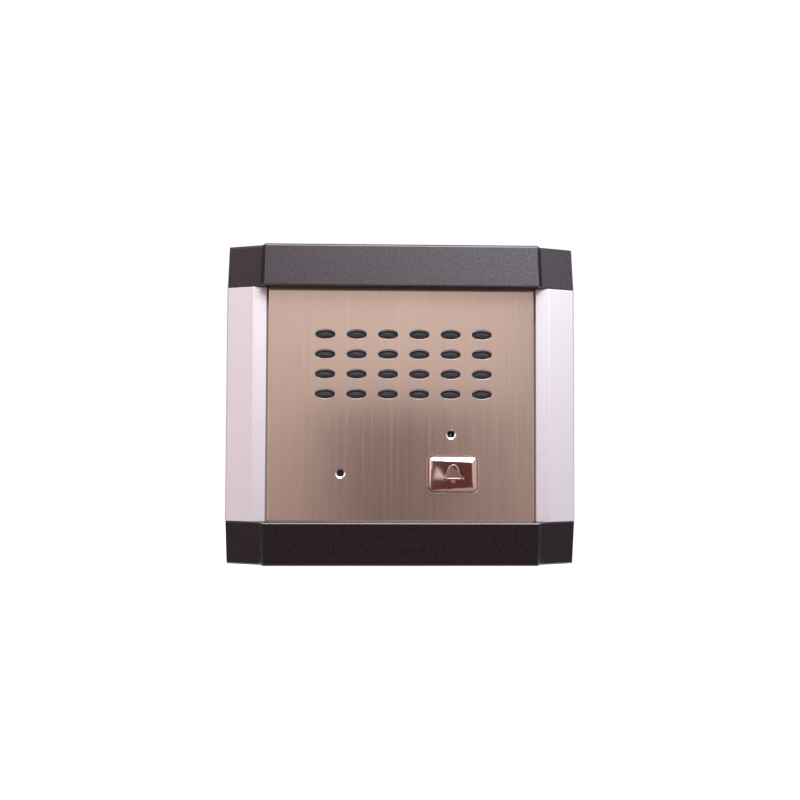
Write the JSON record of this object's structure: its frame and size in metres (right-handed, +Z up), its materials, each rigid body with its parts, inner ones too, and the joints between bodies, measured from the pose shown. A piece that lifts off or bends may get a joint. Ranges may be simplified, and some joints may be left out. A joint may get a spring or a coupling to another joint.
{
  "type": "intercom phone",
  "caption": "Square wall intercom station with slotted steel front plate, aluminium side rails, black moulded end caps, speaker grille, microphone, lamp and a bright push-button.",
  "frame": {"origin": "centre of the back face, in the wall plane", "axes": "+X across to the right as seen from the front, +Y into the wall, +Z up"},
  "size_m": [0.13, 0.0377, 0.1188],
  "materials": {
    "rail": "satin anodised, drawn lengthwise",
    "cap": "fine moulded grain",
    "plate": "brushed upwards",
    "sheet": "zinc plated sheet",
    "steel": "plated",
    "rubber": "matt",
    "cloth": "woven",
    "foam": "foam",
    "cone": "pressed pulp",
    "copper": "enamelled wire",
    "ferrite": "sintered",
    "chrome": "polished plating",
    "pale_plastic": "moulded",
    "dark_plastic": "moulded",
    "red_plastic": "moulded",
    "green_plastic": "moulded",
    "board": "solder lacquer",
    "brass": "turned",
    "can": "drawn can",
    "lamp": "cast lens"
  },
  "bodies": {
    "housing": {"rail_left": "rail", "rail_right": "rail", "top_cap": "cap", "bottom_cap": "cap", "cap_screws": "steel", "screw_plugs": "cap", "front_plate": "plate", "back_cover": "sheet", "back_screws": "steel", "cable_grommet": "rubber", "speaker_cloth": "cloth", "speaker_gasket": "foam", "speaker_basket": "sheet", "speaker_cone": "cone", "dust_cap": "cone", "voice_coil": "copper", "pole_plate": "steel", "speaker_magnet": "ferrite", "pole_yoke": "steel", "speaker_clamp": "sheet", "stud_nuts": "steel", "button_guide": "pale_plastic", "button_spring": "steel", "switch_body": "dark_plastic", "circuit_board": "board", "board_spacers": "brass", "board_screws": "steel", "mic_boot": "rubber", "mic_capsule": "can", "indicator_led": "lamp", "led_holder": "dark_plastic", "terminal_block": "green_plastic", "terminal_screws": "steel", "audio_chip": "dark_plastic", "capacitors": "can", "speaker_socket": "pale_plastic", "speaker_lead": "red_plastic"},
    "button": {"button_cap": "chrome"},
    "plunger": {"switch_plunger": "red_plastic"}
  },
  "joints": [
    {"name": "button_press", "type": "slide", "parent": "housing", "child": "button", "axis": [0, 1, 0], "range_m": [0, 0.0016], "stiffness_N_per_m": 600, "springref_m": -0.002, "deforming": ["button_spring"]},
    {"name": "switch_press", "type": "slide", "parent": "housing", "child": "plunger", "axis": [0, 1, 0], "range_m": [0, 0.0016], "stiffness_N_per_m": 100, "springref_m": -0.001}
  ],
  "couplings": [
    {"joint": "switch_press", "follows": "button_press", "ratio": 1}
  ]
}
